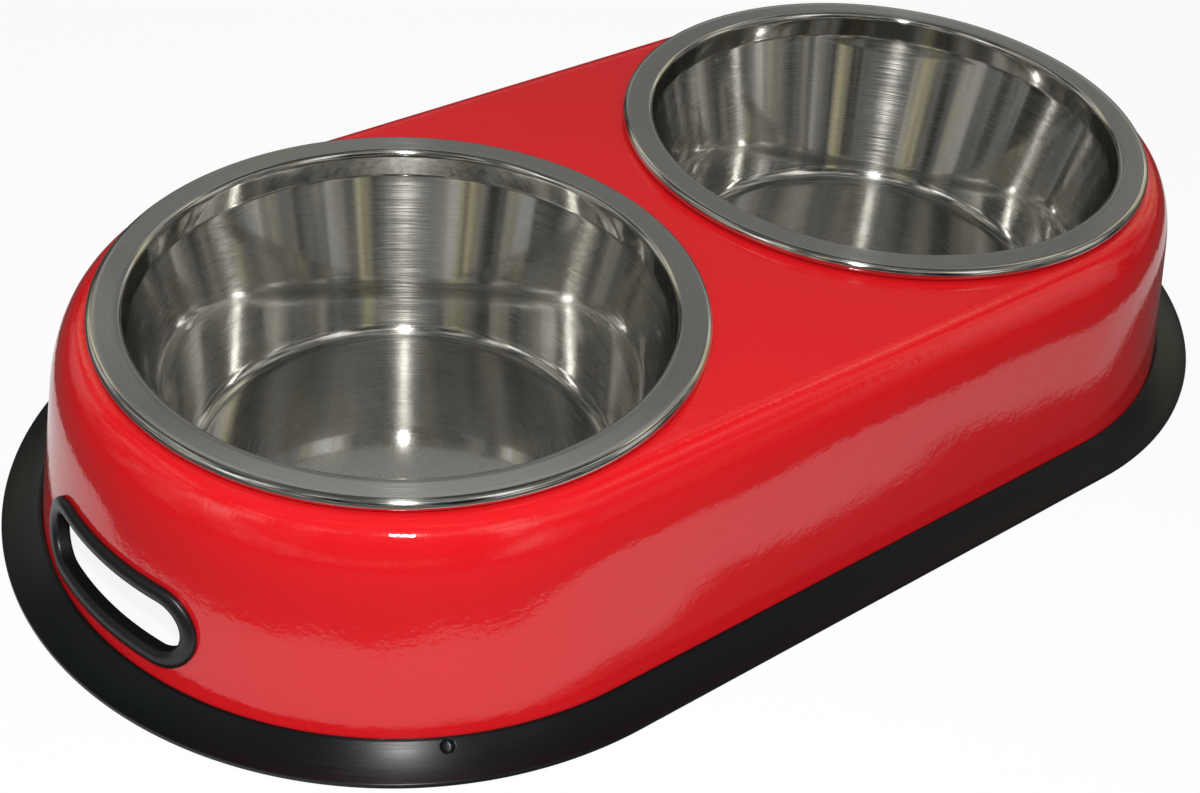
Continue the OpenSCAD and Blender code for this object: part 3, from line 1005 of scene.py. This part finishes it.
def ramp(value, *stops):
    """A Color Ramp over (place, grey or colour) stops."""
    node = nodes.new("ShaderNodeValToRGB")
    node.color_ramp.interpolation = "EASE"
    while len(node.color_ramp.elements) < len(stops):
        node.color_ramp.elements.new(0.5)
    for element, (place, colour) in zip(node.color_ramp.elements, stops):
        element.position = place
        element.color = (*(colour if isinstance(colour, tuple) else (colour,)*3), 1)
    links.new(value, node.inputs["Fac"])
    return node.outputs["Color"]


def tinted(a, b, kind="MULTIPLY"):
    """The product of two colours, or with ADD their sum."""
    node = nodes.new("ShaderNodeMix")
    node.data_type = "RGBA"
    node.blend_type = kind
    node.inputs["Factor"].default_value = 1.0
    links.new(a, node.inputs["A"])
    links.new(b, node.inputs["B"])
    return node.outputs["Result"]


# %% World
shade_turn, shade_rise, shade_height = (float(angle) for angle in np.radians([42, 23, 26]))
shade_level = 0.15
warm_sky, warm_bar = (0.66, 0.62, 0.45), (1.55, 1.47, 1.12)
open_sky, pale_gap = (0.95, 0.95, 0.93, 1), (1.0, 0.98, 0.9)
around_stops = [(0.0, 0.20), (0.10, 0.22), (0.16, 0.42), (0.23, warm_sky), (0.30, 0.42), (0.40, 0.40),
                (0.50, 0.38), (0.60, 0.40), (0.68, 0.50), (0.74, 0.85), (0.80, 0.7), (1.0, 0.6)]
up_stops = [(0.0, 0.35), (0.15, 0.55), (0.35, 0.8), (0.55, 1.1), (0.64, 0.95), (0.69, 0.55), (0.78, 0.95),
            (0.84, 0.32), (0.92, 0.25), (1.0, 0.25)]
bar_stops = [(0.40, 0.10), (0.455, 0.5), (0.52, 1.0), (0.555, warm_bar), (0.62, 2.2)]
gap_stops = [(0.33, 0.0), (0.37, 0.3), (0.41, 0.3), (0.45, 0.0), (0.62, 0.0), (0.68, 0.34), (0.72, 0.34),
             (0.78, 0.0)]
bar_stretch = (3.6, 3.6, 2.0)

camera_side = np.arctan2(camera_place[1], camera_place[0])
turned_sky = nodes.new("ShaderNodeMapping")
turned_sky.inputs["Rotation"].default_value[2] = float(np.pi - camera_side)
links.new(nodes.new("ShaderNodeTexCoord").outputs["Generated"], turned_sky.inputs["Vector"])
x, y, z = split(tree, turned_sky.outputs["Vector"])
around = combine(tree, "ABSOLUTE", combine(tree, "ARCTAN2", y, x))
around_sky = ramp(spread(tree, around, 0, np.pi, 0, 1), *around_stops)
bars = noise_at(tree, turned_sky.outputs["Vector"], bar_stretch, detail=4.0, roughness=0.55)
barred = blend(tree, ramp(around, (0.1, 0.0), (0.5, 1.0)), open_sky, ramp(bars, *bar_stops))

to_camera = combine(tree, "DIVIDE", combine(tree, "SUBTRACT", around, float(np.pi)), shade_turn)
rise = combine(tree, "SUBTRACT", combine(tree, "ARCSINE", z), shade_height)
rise = combine(tree, "DIVIDE", rise, shade_rise)
shade = ramp(long_side(tree, to_camera, rise), (0.82, shade_level), (1.0, 1.0))

sky_colour = tinted(tinted(around_sky, ramp(z, *up_stops)), tinted(barred, shade))
gap = tinted(ramp(z, *gap_stops), ramp(around, (0.4, pale_gap), (0.7, 0.0)))
seen = nodes.new("ShaderNodeLightPath").outputs["Is Camera Ray"]
surroundings = blend(tree, seen, tinted(sky_colour, gap, "ADD"), (1, 1, 1, 1))
links.new(surroundings, nodes["Background"].inputs["Color"])
print("camera side at", round(float(np.degrees(camera_side)), 1), "degrees")

bpy.context.scene.view_settings.view_transform = "Standard"
